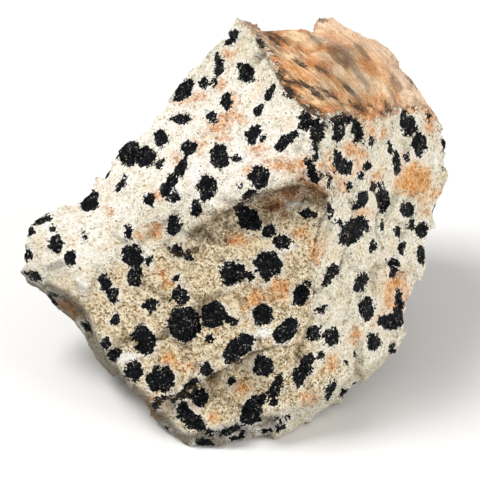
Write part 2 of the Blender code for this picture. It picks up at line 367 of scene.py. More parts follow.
# %% Breaking the skin
TOP_SIDE = (0.487, 0.223, 0.845)  # the way the worn top face looks
stone = bpy.data.materials.new("dalmatian_stone_broken")
relief = skin.modifiers.new("relief", "NODES")
relief.node_group = relief_tree()
set_inputs(relief, {
    "Facet Size": 5.5 * MM,
    "Facet Slope": 0.3,
    "Chip Size": 1.7 * MM,
    "Chip Slope": 0.26,
    "Bend": 1.2 * MM,
    "Grit Size": 0.8 * MM,
    "Grit Depth": 0.26 * MM,
    "Calm Side": TOP_SIDE,
    "Finish": stone,
})
skin_mesh = bake_modifiers(skin)
places, normals = points_of(skin_mesh)
places[:, 2] = np.maximum(places[:, 2], 0)
skin_mesh.vertices.foreach_set("co", places.ravel())
skin_mesh.polygons.foreach_set("use_smooth", [True] * len(skin_mesh.polygons))
skin_mesh.update()
places, normals = points_of(skin_mesh)
columns, rows, depths = seen_at(places)
facing_back = np.clip((normals @ AWAY) * FADE_BACK, 0, 1)
print("skin box, mm:", np.round(places.min(0) / MM, 1), np.round(places.max(0) / MM, 1))

# %% [markdown]
# ## Crevices
#
# Where one layer of the break stops, a crack runs in under it. Each crevice is a line drawn as
# the eye sees it, with half its width in pixels and its depth in millimetres. The points near
# the line sink inwards along their normals, deepest in its middle, which gives a real groove
# that throws its own shade. A slow noise lets it waver and come and go. How deep each point
# sank and how far it is from the line are kept for the material, which paints shade into the
# colour there: a brown darkening in the groove and a dark thread along its middle, for the
# shadow under each lip.

# %% Carving the crevices
CREVICES = [
    (5, 0.55, [(186, 238), (198, 231), (210, 224), (224, 216), (240, 204), (256, 197),
               (274, 194), (292, 189), (306, 188), (318, 194), (329, 202)]),
    (3, 0.4, [(205, 214), (213, 213), (221, 217), (230, 214)]),
    (3, 0.5, [(190, 232), (197, 226), (204, 231), (209, 238), (222, 245)]),
    (3, 0.4, [(164, 244), (172, 252), (181, 257), (196, 249)]),
    (2.5, 0.3, [(238, 206), (252, 203), (268, 206)]),
    (2.5, 0.5, [(256, 40), (264, 56), (272, 68), (280, 84), (290, 95), (304, 107), (322, 117),
                (340, 118)]),
    (3, 0.8, [(157, 403), (171, 402), (184, 394), (196, 388), (208, 382), (222, 373),
              (238, 363), (250, 357), (264, 351)]),
    (2, 0.3, [(264, 351), (280, 346), (292, 350), (304, 362)]),
    (2, 0.2, [(327, 118), (318, 140), (322, 160), (331, 178), (335, 196)]),
    (2, 0.25, [(330, 204), (320, 222), (316, 240), (311, 262), (306, 284)]),
    (2, 0.2, [(348, 196), (354, 214), (350, 236), (343, 256), (338, 282)]),
    (2, 0.25, [(372, 180), (380, 204), (376, 228), (384, 250)]),
]
WAVER_SIZE = 1.4 * MM
WAVER_REACH = 0.9  # as a share of half a crevice's width, and of its depth
USUAL_DEPTH = 0.75
LEAST_DEPTH, MOST_DEPTH = 0.1, 1.4

waver = np.array([mathutils.noise.noise(Vector(place / WAVER_SIZE)) for place in places])
sunk = np.zeros(len(places))
cleft_distance = np.full(len(places), FAR_OFF)
for half_width, depth, line in CREVICES:
    gap = line_distance(line)
    cleft_distance = np.minimum(cleft_distance, gap * PIXEL / MM + FAR_OFF * facing_back)
    wavering = gap + WAVER_REACH * half_width * waver
    come_and_go = np.clip(USUAL_DEPTH + WAVER_REACH * waver, LEAST_DEPTH, MOST_DEPTH)
    groove = np.exp(-(wavering / half_width) ** 2) * come_and_go
    sunk = np.maximum(sunk, groove * depth * (1 - facing_back))
places -= normals * (sunk * MM)[:, None]
skin_mesh.vertices.foreach_set("co", places.ravel())
skin_mesh.update()
print("deepest crevice:", round(float(sunk.max()), 2), "mm")

# %% [markdown]
# ## Where the marks lie
#
# A real spot is a clump of black grains that the break cut through. Each is written below as
# the eye sees it, in pixels: column, row, width and height, and last its lean, unless it stands
# upright. A ray from the eye finds the stone behind it, and every point of the skin then learns
# how far it is from the nearest spot's edge. The material reads that distance, which stays
# sharp however coarse the net is.

# %% Spots on the seen side
RISING, FALLING = 1, -1  # how a spot leans, from left to right
SPOTS = [
    (232, 38, 10, 20, RISING), (218, 64, 10, 20), (246, 73, 15, 19), (240, 65, 5, 5),
    (203, 83, 9, 9), (214, 84, 5, 9), (184, 90, 17, 24, RISING), (226, 102, 12, 17),
    (212, 116, 11, 12), (181, 119, 20, 10), (270, 93, 9, 18, RISING), (259, 109, 9, 7, RISING),
    (279, 77, 9, 8), (289, 91, 11, 10), (260, 42, 7, 9, FALLING), (161, 139, 14, 19),
    (129, 153, 26, 26), (146, 156, 21, 20), (189, 148, 14, 14), (160, 164, 9, 11),
    (181, 168, 14, 20, RISING), (168, 185, 15, 22, RISING), (174, 198, 12, 11),
    (150, 200, 11, 10), (220, 156, 18, 24), (237, 158, 8, 4), (207, 188, 18, 26),
    (196, 208, 7, 15), (253, 135, 14, 18, RISING), (263, 139, 5, 5),
    (285, 142, 19, 14, RISING), (295, 135, 6, 5), (305, 121, 12, 17), (317, 132, 12, 25),
    (315, 148, 5, 6), (316, 156, 4, 8), (312, 171, 11, 23, FALLING), (329, 182, 4, 11),
    (329, 211, 5, 16), (339, 128, 13, 28), (347, 118, 20, 12), (357, 132, 12, 20),
    (337, 160, 9, 22), (344, 167, 15, 14), (349, 186, 8, 9), (361, 177, 8, 8),
    (368, 166, 8, 9), (371, 142, 5, 8), (361, 200, 13, 18, RISING), (376, 186, 10, 8, RISING),
    (383, 199, 12, 25), (403, 118, 7, 14), (410, 127, 14, 20), (419, 144, 14, 24),
    (397, 164, 9, 22), (406, 157, 7, 12), (390, 148, 5, 11), (428, 115, 4, 10),
    (407, 210, 12, 14), (353, 231, 27, 27, RISING), (339, 222, 5, 12), (382, 227, 5, 9),
    (372, 246, 8, 10), (398, 231, 7, 12), (411, 226, 6, 10), (422, 230, 12, 14),
    (402, 249, 7, 15), (421, 254, 9, 22), (393, 268, 12, 20), (331, 274, 15, 22, RISING),
    (361, 283, 13, 21, RISING), (367, 308, 16, 24), (302, 294, 17, 26, RISING),
    (315, 292, 5, 5), (322, 309, 8, 10, RISING), (399, 304, 9, 30), (391, 321, 28, 17),
    (374, 341, 14, 17), (392, 349, 8, 10), (286, 331, 21, 23, RISING), (314, 334, 12, 15),
    (331, 337, 14, 18), (303, 370, 18, 36, RISING), (321, 358, 6, 9), (346, 362, 4, 5),
    (357, 354, 5, 6), (330, 390, 9, 22, RISING), (346, 393, 12, 9), (263, 367, 20, 21),
    (231, 381, 8, 8), (276, 387, 15, 24, RISING), (273, 403, 9, 9), (252, 409, 23, 31, RISING),
    (283, 419, 16, 6, RISING), (263, 314, 20, 22), (239, 347, 32, 24, RISING),
    (233, 358, 18, 14), (185, 324, 35, 35), (213, 315, 25, 25), (180, 297, 18, 19),
    (150, 306, 13, 14), (141, 335, 20, 18), (146, 345, 20, 18), (115, 318, 8, 10),
    (113, 295, 10, 14), (105, 282, 9, 15), (133, 256, 20, 25), (135, 277, 15, 20),
    (149, 261, 8, 11), (129, 233, 5, 14), (174, 225, 13, 20), (177, 251, 14, 13),
    (188, 256, 10, 9), (248, 218, 27, 24, FALLING), (269, 231, 14, 12), (282, 242, 18, 16),
    (232, 273, 25, 24), (269, 265, 28, 27), (309, 214, 14, 8), (260, 177, 19, 22),
    (249, 196, 13, 9, RISING), (241, 186, 4, 4), (177, 278, 6, 5), (251, 278, 8, 7),
    (231, 321, 12, 8), (210, 338, 8, 8), (161, 380, 30, 25), (133, 370, 18, 20),
    (114, 354, 12, 14), (105, 344, 8, 12), (206, 370, 12, 13), (192, 385, 21, 12, RISING),
    (200, 398, 17, 17), (175, 398, 32, 8, RISING), (158, 403, 13, 11, RISING),
    (187, 416, 19, 31, FALLING), (196, 424, 20, 14), (56, 243, 14, 19), (71, 259, 13, 16),
    (53, 229, 6, 7), (84, 236, 5, 9), (41, 220, 20, 10, RISING), (31, 231, 8, 9, RISING),
    (89, 200, 20, 22), (121, 185, 8, 21, RISING), (232, 428, 16, 4, RISING), (210, 433, 6, 5),
    (238, 437, 14, 5, RISING), (274, 429, 24, 5, RISING), (203, 443, 16, 6),
    (255, 420, 10, 4, RISING), (88, 327, 16, 9, FALLING), (52, 294, 8, 5, FALLING),
    (280, 75, 9, 9), (33, 276, 22, 8, FALLING), (225, 431, 34, 6, RISING), (167, 428, 8, 6),
]
print(len(SPOTS), "spots placed by eye")

# %% How far each point is from a spot
LEAN_LONG, LEAN_SHORT = 0.9, 0.8  # a leaning spot's axes, as shares of its box's
LARGEST_MARK = 60  # pixels from its middle that a mark can reach
MIDDLE = 0.3  # the inner part of a spot, where its distance is held level
MIDDLE_DEPTH = 0.8
LEAST_REACH = 0.5  # mm that every mark reaches in depth
REACH_SHARE = 2.2  # how deep a mark reaches, as a share of its longer half axis


def ellipse(width, height, lean=0):
    """Half axes in mm and angle of the spot that fills a box of pixels."""
    if not lean:
        return width / 2 * PIXEL / MM, height / 2 * PIXEL / MM, 0.0
    long_half = math.hypot(width, height) / 2 * LEAN_LONG
    short_half = min(width, height) / 2 * LEAN_SHORT
    return long_half * PIXEL / MM, short_half * PIXEL / MM, lean * math.atan2(height, width)


def ellipse_distance(across, rise, half_across, half_rise):
    """About how far points are outside an upright ellipse, in its own unit."""
    size = np.hypot(across / half_across, rise / half_rise)
    slope = np.hypot(across / half_across**2, rise / half_rise**2)
    distance = size * (size - 1) / np.maximum(slope, 1e-9)
    return np.where(size < MIDDLE, -MIDDLE_DEPTH * min(half_across, half_rise), distance)


# %% Finding the marks on the stone
faces_of_skin = [tuple(polygon.vertices) for polygon in skin_mesh.polygons]
skin_tree = BVHTree.FromPolygons([Vector(p) for p in places], faces_of_skin)


def hit_depth(column, row):
    """The depth in mm at which the eye meets the stone, or None."""
    aim = CENTRE + (RIGHT * (column - PICTURE_CENTRE) + UP * (PICTURE_CENTRE - row)) * PIXEL
    hit = skin_tree.ray_cast(Vector(EYE), Vector(aim - EYE).normalized())[0]
    return None if hit is None else float((np.array(hit) - CENTRE) @ AWAY / MM)


def marked_distance(marks):
    """For each point of the skin, its distance in mm to the nearest of the marks."""
    nearest = np.full(len(places), FAR_OFF)
    missed = 0
    for column, row, width, height, *lean in marks:
        depth = hit_depth(column, row)
        if depth is None:
            missed += 1
            continue
        half_across, half_rise, angle = ellipse(width, height, *lean)
        close = np.maximum(np.abs(columns - column), np.abs(rows - row)) < LARGEST_MARK
        spread = PIXEL / MM * (1 + depth * MM / EYE_DISTANCE)
        across = (columns[close] - column) * spread
        rise = (row - rows[close]) * spread
        turned = across * math.cos(angle) + rise * math.sin(angle)
        raised = rise * math.cos(angle) - across * math.sin(angle)
        flat = ellipse_distance(turned, raised, half_across, half_rise)
        reach = REACH_SHARE * max(half_across, half_rise) + LEAST_REACH
        deep = np.abs(depths[close] - depth) - reach
        nearest[close] = np.minimum(nearest[close], np.maximum(flat, deep))
    print(len(marks) - missed, "marks landed,", missed, "missed")
    return nearest


spot_distance = marked_distance(SPOTS)

# %% [markdown]
# ## Spots on the hidden sides
#
# The back and the underside were never seen, so their spots are dealt out at random, with the
# same sizes and crowding. Darts are thrown at the skin, and one that lands too close to an
# earlier spot, or on the side that the eye sees, is taken away. A fixed seed makes the same
# stone every time.

# %% Random spots
SEED = 11
TURNED_AWAY = 0.1  # how far from the eye's side a surface must face to count as hidden
LEAST_GAP = 0.3  # mm
SIZE_LEAN = (1.3, 2.4)  # a beta curve with more small marks than large ones
STRETCH = (0.65, 1.5)  # how much shorter or longer a mark is along each axis


def deal_out(darts, smallest, largest, crowding, nearest):
    """Deals out marks on the hidden sides and gives each point's distance to the nearest, in mm.

    smallest and largest are radii in mm, and crowding is how far apart two marks keep, as a
    share of their two radii.
    """
    centres, radii = [], []
    for index in rng.integers(0, len(places), darts):
        radius = smallest + (largest - smallest) * rng.beta(*SIZE_LEAN)
        centre = places[index] / MM
        if nearest[index] < radius * crowding or normals[index] @ AWAY < TURNED_AWAY:
            continue
        if centres:
            gaps = np.linalg.norm(np.array(centres) - centre, axis=1)
            if (gaps < (np.array(radii) + radius) * crowding + LEAST_GAP).any():
                continue
        centres.append(centre)
        radii.append(radius)
    for centre, radius in zip(centres, radii):
        stretch = rng.uniform(*STRETCH, 3)
        offset = (places / MM - centre) / stretch
        nearest = np.minimum(nearest, np.linalg.norm(offset, axis=1) - radius)
    print(len(centres), "hidden marks")
    return nearest


rng = np.random.default_rng(SEED)
spot_distance = deal_out(
    darts=4500, smallest=0.35, largest=2.0, crowding=1.3, nearest=spot_distance)

# %% [markdown]
# ## Stains, rind and tones
#
# Rust has crept between the grains in soft patches, orange or golden, and blows have bruised the
# feldspar to white frost. These are soft marks like the spots, and so are the dark patches of
# the rind, which is the orange-brown old surface on top. The rind itself is an outline drawn
# round the top face as the eye sees it, carried over the back as a crust. Further outlines say
# where it is fibrous and where the stone is beige or pale, and others paint shade into the
# colour, with a brown tint: on the undercut flank, along the foot and on the riser under the
# ledge. One of them is a grey patch on the rind.

# %% Soft marks
GOLD = [
    (412, 178, 40, 32), (396, 296, 18, 46), (384, 316, 24, 14, RISING), (171, 361, 14, 14),
    (66, 308, 16, 10, FALLING), (404, 160, 12, 14), (427, 196, 16, 12, RISING),
    (158, 404, 12, 16, FALLING), (272, 166, 16, 8),
]
STAINS = [
    (225, 121, 24, 20, RISING), (214, 128, 16, 14), (196, 144, 16, 12), (176, 158, 10, 12),
    (233, 101, 12, 20), (220, 84, 12, 12), (184, 99, 18, 10), (228, 55, 16, 12),
    (257, 150, 20, 14), (159, 196, 16, 14), (110, 210, 10, 10), (156, 231, 14, 18),
    (138, 234, 8, 12), (165, 279, 16, 20, FALLING), (280, 289, 24, 22),
    (254, 301, 24, 20, RISING), (171, 361, 14, 16), (190, 367, 12, 12), (294, 165, 40, 18),
    (312, 184, 34, 20, FALLING), (275, 204, 24, 16), (290, 196, 20, 12),
    (316, 190, 24, 18, FALLING), (322, 170, 12, 20), (366, 118, 14, 12), (352, 170, 12, 14),
    (377, 178, 12, 16), (383, 134, 8, 16), (371, 131, 14, 18), (352, 148, 18, 18),
    (362, 160, 14, 26), (335, 172, 12, 20), (343, 184, 10, 16), (328, 157, 9, 16),
    (364, 213, 16, 12), (426, 210, 8, 10), (437, 191, 16, 12, RISING), (315, 251, 12, 24),
    (200, 96, 14, 10), (240, 118, 12, 10), (246, 170, 14, 10), (222, 138, 14, 8),
    (355, 334, 14, 20), (413, 180, 36, 32), (412, 170, 14, 14), (396, 290, 26, 44),
    (388, 318, 20, 14), (331, 364, 14, 18), (309, 398, 22, 12), (242, 389, 18, 16),
    (214, 418, 14, 12), (70, 309, 20, 20, FALLING), (236, 240, 20, 12), (300, 232, 16, 14),
    (430, 120, 14, 30), (150, 410, 14, 20, FALLING),
]
FROST = [
    (126, 358, 24, 18), (262, 333, 18, 12), (245, 346, 26, 12, RISING), (147, 256, 12, 14),
    (84, 288, 12, 26, FALLING), (284, 246, 24, 12), (176, 188, 18, 12), (244, 158, 24, 14),
    (292, 204, 20, 10), (265, 285, 16, 8), (195, 172, 14, 26), (436, 158, 8, 16),
]
print(len(GOLD), "golden and", len(STAINS), "orange stains,", len(FROST), "bruises")

# %% Outlines
RIND_OUTLINE = [
    (242, 22), (258, 38), (274, 62), (283, 86), (303, 105), (321, 116), (338, 114),
    (360, 117), (380, 117), (397, 111), (418, 110), (432, 112), (445, 90), (420, 50),
    (380, 20), (330, 5), (300, 15), (260, 18),
]
FIBROUS_OUTLINE = [
    (240, 20), (262, 22), (292, 44), (330, 76), (372, 98), (408, 104), (412, 122), (330, 126),
    (290, 112), (270, 84),
]
BEIGE_OUTLINE = [
    (183, 242), (207, 217), (246, 202), (300, 180), (332, 197), (317, 234), (312, 300),
    (316, 352), (345, 368), (305, 400), (255, 415), (196, 434), (155, 401), (126, 377),
    (98, 333), (77, 299), (118, 262),
]
PALE_OUTLINES = [
    [(212, 62), (255, 75), (283, 105), (318, 122), (300, 170), (262, 190), (207, 212),
     (160, 205), (120, 235), (104, 262), (70, 270), (20, 262), (20, 230), (76, 195),
     (125, 140)],
    [(312, 36), (316, 8), (350, 14), (385, 35), (430, 85), (436, 112), (408, 110), (390, 75),
     (362, 50), (335, 38)],
]
# painted shade with a brown tint, and how dark it is: the undercut flank, the foot, the strip
# below the lower edge and the riser under the ledge; the last outline is a grey patch of the rind
SHADE_AND_TINT_OUTLINES = [
    (0.95, [(10, 262), (35, 275), (65, 290), (88, 310), (96, 333), (109, 356), (138, 386),
            (155, 402), (168, 416), (186, 437), (170, 450), (90, 370), (0, 290)]),
    (1.0, [(160, 430), (191, 433), (230, 424), (262, 415), (280, 414), (270, 445), (190, 455)]),
    (0.3, [(262, 415), (305, 402), (345, 380), (392, 352), (410, 370), (330, 440), (250, 450)]),
    (0.12, [(186, 240), (200, 226), (214, 219), (232, 218), (240, 222), (222, 236), (203, 244)]),
    (0.3, [(236, 209), (245, 200), (262, 195), (285, 189), (305, 186), (322, 192), (330, 202),
           (322, 211), (300, 205), (280, 209), (262, 211), (246, 215)]),
    (0.3, [(318, 45), (365, 45), (380, 75), (372, 108), (330, 108), (315, 85)]),
]
print(len(PALE_OUTLINES), "pale and", len(SHADE_AND_TINT_OUTLINES), "dusky outlines")

# %% Dark patches of the rind
RIND_PATCHES = [
    (258, 42, 8, 9, FALLING), (275, 42, 16, 10, FALLING), (280, 76, 10, 10), (289, 92, 10, 9),
    (316, 41, 12, 8, FALLING), (323, 70, 16, 8, FALLING), (318, 89, 30, 10, FALLING),
    (340, 55, 26, 22, FALLING), (352, 62, 12, 8, FALLING), (359, 49, 8, 8),
    (364, 56, 8, 6, FALLING), (394, 83, 12, 16, FALLING), (388, 105, 12, 10, FALLING),
    (410, 86, 8, 8), (417, 104, 10, 14, FALLING), (359, 109, 20, 8, FALLING),
    (350, 89, 14, 8, FALLING), (300, 62, 14, 8, FALLING), (306, 98, 16, 6, FALLING),
    (300, 84, 40, 9, FALLING), (324, 95, 36, 8, FALLING), (306, 106, 28, 6, FALLING),
    (352, 106, 24, 6, FALLING),
]

gold_distance = deal_out(
    darts=60, smallest=0.8, largest=2.4, crowding=2.5, nearest=marked_distance(GOLD))
stain_distance = deal_out(
    darts=150, smallest=0.7, largest=2.2, crowding=2.0, nearest=marked_distance(STAINS))
frost_distance = marked_distance(FROST)
patch_distance = marked_distance(RIND_PATCHES)

# %% [markdown]
# ## From outlines to shares
#
# Each point of the skin gets a share of rind, of fibre, of each tone and of painted shade, from
# 0 to 1. The crust over the back is measured down from the level of the top face. The rind's
# streaks run one way, so a stretched set of coordinates, the flow, is kept for the noise that
# draws them.

# %% Shares of rind and tones
RIND_CRUST = 1.6  # mm of crust over the back of the top face
CRUST_FADE = 0.8  # mm
RIND_BAND, FIBROUS_BAND, BEIGE_BAND, PALE_BAND, SHADE_AND_TINT_BAND = 14, 16, 22, 20, 5  # pixels
UNDERSIDE_SHADE = 0.6  # how much painted shade darkens the hidden faces that point down
FACING_DOWN = -0.3  # how far down a normal points that counts as the underside
RIND_NORMAL = np.array(TOP_SIDE)

facing_eye = 1 - facing_back
seen_rind = soft_inside(RIND_OUTLINE, RIND_BAND) * facing_eye
top_level = np.median((places @ RIND_NORMAL)[seen_rind > 0.9])
below_top = (top_level - places @ RIND_NORMAL) / MM
back_rind = np.clip((RIND_CRUST - below_top) / CRUST_FADE, 0, 1) * np.clip(facing_back * 3, 0, 1)
# painted shade: hidden faces that point down are darkened, and the outlines add the rest
dusky = UNDERSIDE_SHADE * facing_back * (normals[:, 2] < FACING_DOWN)
for strength, outline in SHADE_AND_TINT_OUTLINES:
    dusky = np.maximum(dusky, strength * soft_inside(outline, SHADE_AND_TINT_BAND) * facing_eye)
pale = np.maximum.reduce([soft_inside(outline, PALE_BAND) for outline in PALE_OUTLINES])
rind_share = np.maximum(seen_rind, back_rind)
print("rind covers", round(float((rind_share > 0.5).mean()) * 100), "% of the skin")

STREAK_ALONG = np.array([0.707, -0.669, -0.230])  # the rind's streaks run down to the right
STREAK_STRETCH = 0.22  # how slowly the flow runs along a streak
streak_across = np.cross(RIND_NORMAL, STREAK_ALONG)
streak_flow = np.stack([
    places @ streak_across / MM,
    places @ STREAK_ALONG / MM * STREAK_STRETCH,
    places @ RIND_NORMAL / MM,
], axis=1)

point_marks = {
    "spot_distance": spot_distance,
    "gold_distance": gold_distance,
    "stain_distance": stain_distance,
    "frost_distance": frost_distance,
    "patch_distance": patch_distance,
    "cleft_distance": cleft_distance,
    "sunk": sunk,
    "rind": rind_share,
    "fibrous": soft_inside(FIBROUS_OUTLINE, FIBROUS_BAND),
    "beige": soft_inside(BEIGE_OUTLINE, BEIGE_BAND) * facing_eye,
    "pale": pale * facing_eye,
    "dusky": dusky,
}
for name, values in point_marks.items():
    keep_on_points(name, values)
keep_on_points("streak_flow", streak_flow)
print(len(point_marks), "marks kept on", len(places), "points")

# %% [markdown]
# ## The stone
#
# Dalmatian stone, broken and left dry. Quartz and feldspar grains, each a slightly different
# cream, scatter the light like lump sugar, so the shine is low and the tone is speckled. The
# real grains are about 0.1 mm wide. That is too fine to show, so they are drawn at 0.25 mm.
# First the material reads the marks, then it makes the grains and two noises, which every later
# step uses to ragged its edges.

# %% Reading the marks
stone.use_nodes = True
tree = stone.node_tree
tree.nodes.clear()
marks = {}
for name in ("rugged", *point_marks):
    reader = add_node(tree, ("ShaderNodeAttribute", {"attribute_name": name}))
    marks[name] = reader.outputs["Fac"]
print("marks read:", ", ".join(marks))

# %% Grains and noises
GRAIN = 0.25  # mm, two or three times coarser than real
CRUMB = GRAIN / 1.7  # finer crumbs between the grains
CLOUD_SIZE = 3.0  # mm
MOTTLE_SIZE = 0.9  # mm

coordinates = add_node(tree, "ShaderNodeTexCoord").outputs["Object"]
in_mm = add_node(tree, SCALE, coordinates, 1 / MM)
grains = add_node(tree, CELLS, in_mm, 1 / GRAIN)
crumbs = add_node(tree, CELLS, in_mm, 1 / CRUMB)
grain_parts = add_node(tree, "ShaderNodeSeparateColor", grains.outputs["Color"])
crumb_parts = add_node(tree, "ShaderNodeSeparateColor", crumbs.outputs["Color"])
grain_tone, grain_luck, grain_gloss = grain_parts.outputs[0:3]
crumb_tone, crumb_luck = crumb_parts.outputs[0:2]
clouds = add_node(tree, NOISE, in_mm, 2.0, 1 / CLOUD_SIZE, 3.0, 0.6)
mottle = add_node(tree, NOISE, in_mm, 4.0, 1 / MOTTLE_SIZE, 3.0, 0.7)
mottle_swing = add_node(tree, SUBTRACT, mottle, 0.5)
grain_swing = add_node(tree, SUBTRACT, grain_tone, 0.5)
print("grains of", GRAIN, "mm, crumbs of", round(CRUMB, 2), "mm")

# %% [markdown]
# ## Cream, white and sand
#
# One number for each grain runs through three colour ramps: the cream of the plain break, the
# bruised white of the upper face, where the blow crushed the feldspar, and the sandy brown of
# the lower face. The ramps are dark only at their start, because few grains are dark.

# %% The pale ground
tone = add_node(tree, MULTIPLY, grain_tone, 0.6)
tone = add_node(tree, TIMES_PLUS, crumb_tone, 0.35, tone)
tone = add_node(tree, TIMES_PLUS_HELD, mottle, 0.6, tone)
tone = add_node(tree, SUBTRACT_HELD, tone, 0.22)
cream, white, sand = (
    add_node(tree, ("ShaderNodeValToRGB", {"stops": stops}), tone) for stops in (
        [(0.08, "#8a7c60"), (0.3, "#c8bea3"), (0.55, "#e0d8c1"), (0.85, "#f4f0e2")],
        [(0.05, "#948668"), (0.26, "#dccfb4"), (0.5, "#f4ecdb"), (0.8, "#fefbf4")],
        [(0.1, "#46372a"), (0.3, "#967d5c"), (0.52, "#ccb68f"), (0.76, "#f1e4c7")],
    ))
ground = add_node(tree, MIX, marks["pale"], cream, white)
sandy = add_node(tree, TIMES_PLUS, mottle_swing, 1.4, marks["beige"])
sandy = add_node(tree, SPAN, sandy, 0.2, 0.8)
ground = add_node(tree, MIX, sandy, ground, sand)
warmth = add_node(tree, SPAN, clouds, 0.5, 0.68, 0.0, 0.4)
ground = add_node(tree, MIX, warmth, ground, "#e3c496")
print("ground:", len(tree.nodes), "nodes so far")

# %% [markdown]
# ## Frost
#
# In a few places the break bruised the feldspar to a chalky white powder. It follows its own
# marks, and the mottle noise eats into their edges.

# %% Chalky bruises
frost_edge = add_node(tree, TIMES_PLUS, mottle_swing, 3.0, marks["frost_distance"])
frost = add_node(tree, SPAN, frost_edge, 0.2, -0.5)
frost_luck = add_node(tree, SPAN, grain_luck, 0.0, 1.0, 0.5, 0.95)
frost = add_node(tree, MULTIPLY, frost, frost_luck)
ground = add_node(tree, MIX, frost, ground, "#fbf9f4")
print("frost:", len(tree.nodes), "nodes")

# %% [markdown]
# ## Rust
#
# Iron dissolved in ground water has dried between the grains as orange rust. It colours some
# grains fully and others hardly at all, so each grain's luck thins it. Besides the marked
# stains, a slow noise scatters stray ones, on the hidden sides as well. On the crumbling ledge
# the rust is browner, and in a few places it is thick and golden.

# %% Rust between the grains
STRAY_SIZE = 2.4  # mm

rust_edge = add_node(tree, TIMES_PLUS, mottle_swing, 3.2, marks["stain_distance"])
rust = add_node(tree, SPAN, rust_edge, -0.6, 0.4, 0.92, 0.0)
stray = add_node(tree, NOISE, in_mm, 9.0, 1 / STRAY_SIZE, 4.0, 0.7)
stray = add_node(tree, SPAN, stray, 0.66, 0.74, 0.0, 0.6)
rust = add_node(tree, LARGER, rust, stray)
rust_luck = add_node(tree, SPAN, grain_luck, 0.0, 0.8, 0.42, 1.0)
rust = add_node(tree, MULTIPLY, rust, rust_luck)
rust_depth = add_node(tree, SPAN, tone, 0.2, 0.8)
rust_colour = add_node(tree, MIX, rust_depth, "#a8571a", "#f0b06c")
burnt = add_node(tree, SPAN, marks["rugged"], 0.4, 2.0, 0.0, 0.8)
rust_colour = add_node(tree, MIX, burnt, rust_colour, "#98501f")
surface = add_node(tree, MIX, rust, ground, rust_colour)
gold_edge = add_node(tree, TIMES_PLUS, mottle_swing, 3.0, marks["gold_distance"])
gold = add_node(tree, SPAN, gold_edge, -0.5, 0.6, 0.9, 0.0)
gold = add_node(tree, MULTIPLY, gold, rust_luck)
gold_colour = add_node(tree, MIX, rust_depth, "#a0581c", "#f5bb74")
surface = add_node(tree, MIX, gold, surface, gold_colour)
print("rust:", len(tree.nodes), "nodes")

# %% [markdown]
# ## The rind
#
# The top is an old surface, and weather has turned its outer skin orange-brown. It is finer and
# streaked: the noise here runs along the stretched flow, so its lumps are drawn out into dark
# and pale streaks. Patches of black crust follow their own marks.

# %% Streaks and patches of the rind
STREAK_WIDTH, THREAD_WIDTH = 1.6, 0.5  # mm
LIGHT_SIZE, RUSTY_SIZE, GREY_WIDTH = 4.0, 3.0, 2.4  # mm

flow = add_node(tree, ("ShaderNodeAttribute", {"attribute_name": "streak_flow"}))
flow = flow.outputs["Vector"]
streaks = add_node(tree, NOISE, flow, 1.0, 1 / STREAK_WIDTH, 5.0, 0.72)
threads = add_node(tree, NOISE, flow, 3.0, 1 / THREAD_WIDTH, 3.0, 0.7)
light_part = add_node(tree, NOISE, in_mm, 6.0, 1 / LIGHT_SIZE, 3.0, 0.6)
light_part = add_node(tree, SPAN, light_part, 0.4, 0.6)
rusty_part = add_node(tree, NOISE, in_mm, 8.0, 1 / RUSTY_SIZE, 3.0, 0.6)
rusty_part = add_node(tree, SPAN, rusty_part, 0.48, 0.6, 0.0, 0.75)
grey_part = add_node(tree, NOISE, flow, 12.0, 1 / GREY_WIDTH, 2.0, 0.55)
grey_part = add_node(tree, SPAN, grey_part, 0.5, 0.62, 0.0, 0.7)
thread_reach = add_node(tree, SPAN, marks["fibrous"], 0.0, 1.0, 0.3, 1.0)
thread_part = add_node(tree, SPAN, threads, 0.52, 0.42, 0.0, 0.55)
thread_part = add_node(tree, MULTIPLY, thread_part, thread_reach)
peach_part = add_node(tree, MULTIPLY, marks["pale"], 0.7)
dark_part = add_node(tree, SPAN, streaks, 0.45, 0.37, 0.0, 0.75)
dark_part = add_node(tree, MULTIPLY, dark_part, thread_reach)
bright_part = add_node(tree, SPAN, streaks, 0.56, 0.66, 0.0, 0.75)
bright_part = add_node(tree, MULTIPLY, bright_part, thread_reach)

# %% Colours of the rind
rind = add_node(tree, MIX, light_part, "#f0b781", "#fcdfb8")
for part, colour in (
        (rusty_part, "#cf7c3c"), (grey_part, "#948678"), (peach_part, "#fbdcbc"),
        (thread_part, "#c48345"), (dark_part, "#6a5848"), (bright_part, "#f9dcb8")):
    rind = add_node(tree, MIX, part, rind, colour)
streak_swing = add_node(tree, SUBTRACT, streaks, 0.5)
patch_edge = add_node(tree, TIMES_PLUS, streak_swing, 4.5, marks["patch_distance"])
patch_edge = add_node(tree, TIMES_PLUS, grain_swing, 0.4, patch_edge)
patch = add_node(tree, SPAN, patch_edge, 0.25, -0.35)
patch_strength = add_node(tree, SPAN, marks["fibrous"], 0.0, 1.0, 0.5, 0.92)
patch = add_node(tree, MULTIPLY, patch, patch_strength)
rind = add_node(tree, MIX, patch, rind, "#3a3632")
print("rind:", len(tree.nodes), "nodes")

# %% [markdown]
# ## The edge of the rind
#
# Where the rind was broken through, its edge is ragged, with a crust of near-black iron along
# it and hairlines of the same running in. Rust has run down over the fresh break just below.
# The rind's own mark fades over a band, and noises shift it, so that a narrow span of the sum
# gives a ragged edge.

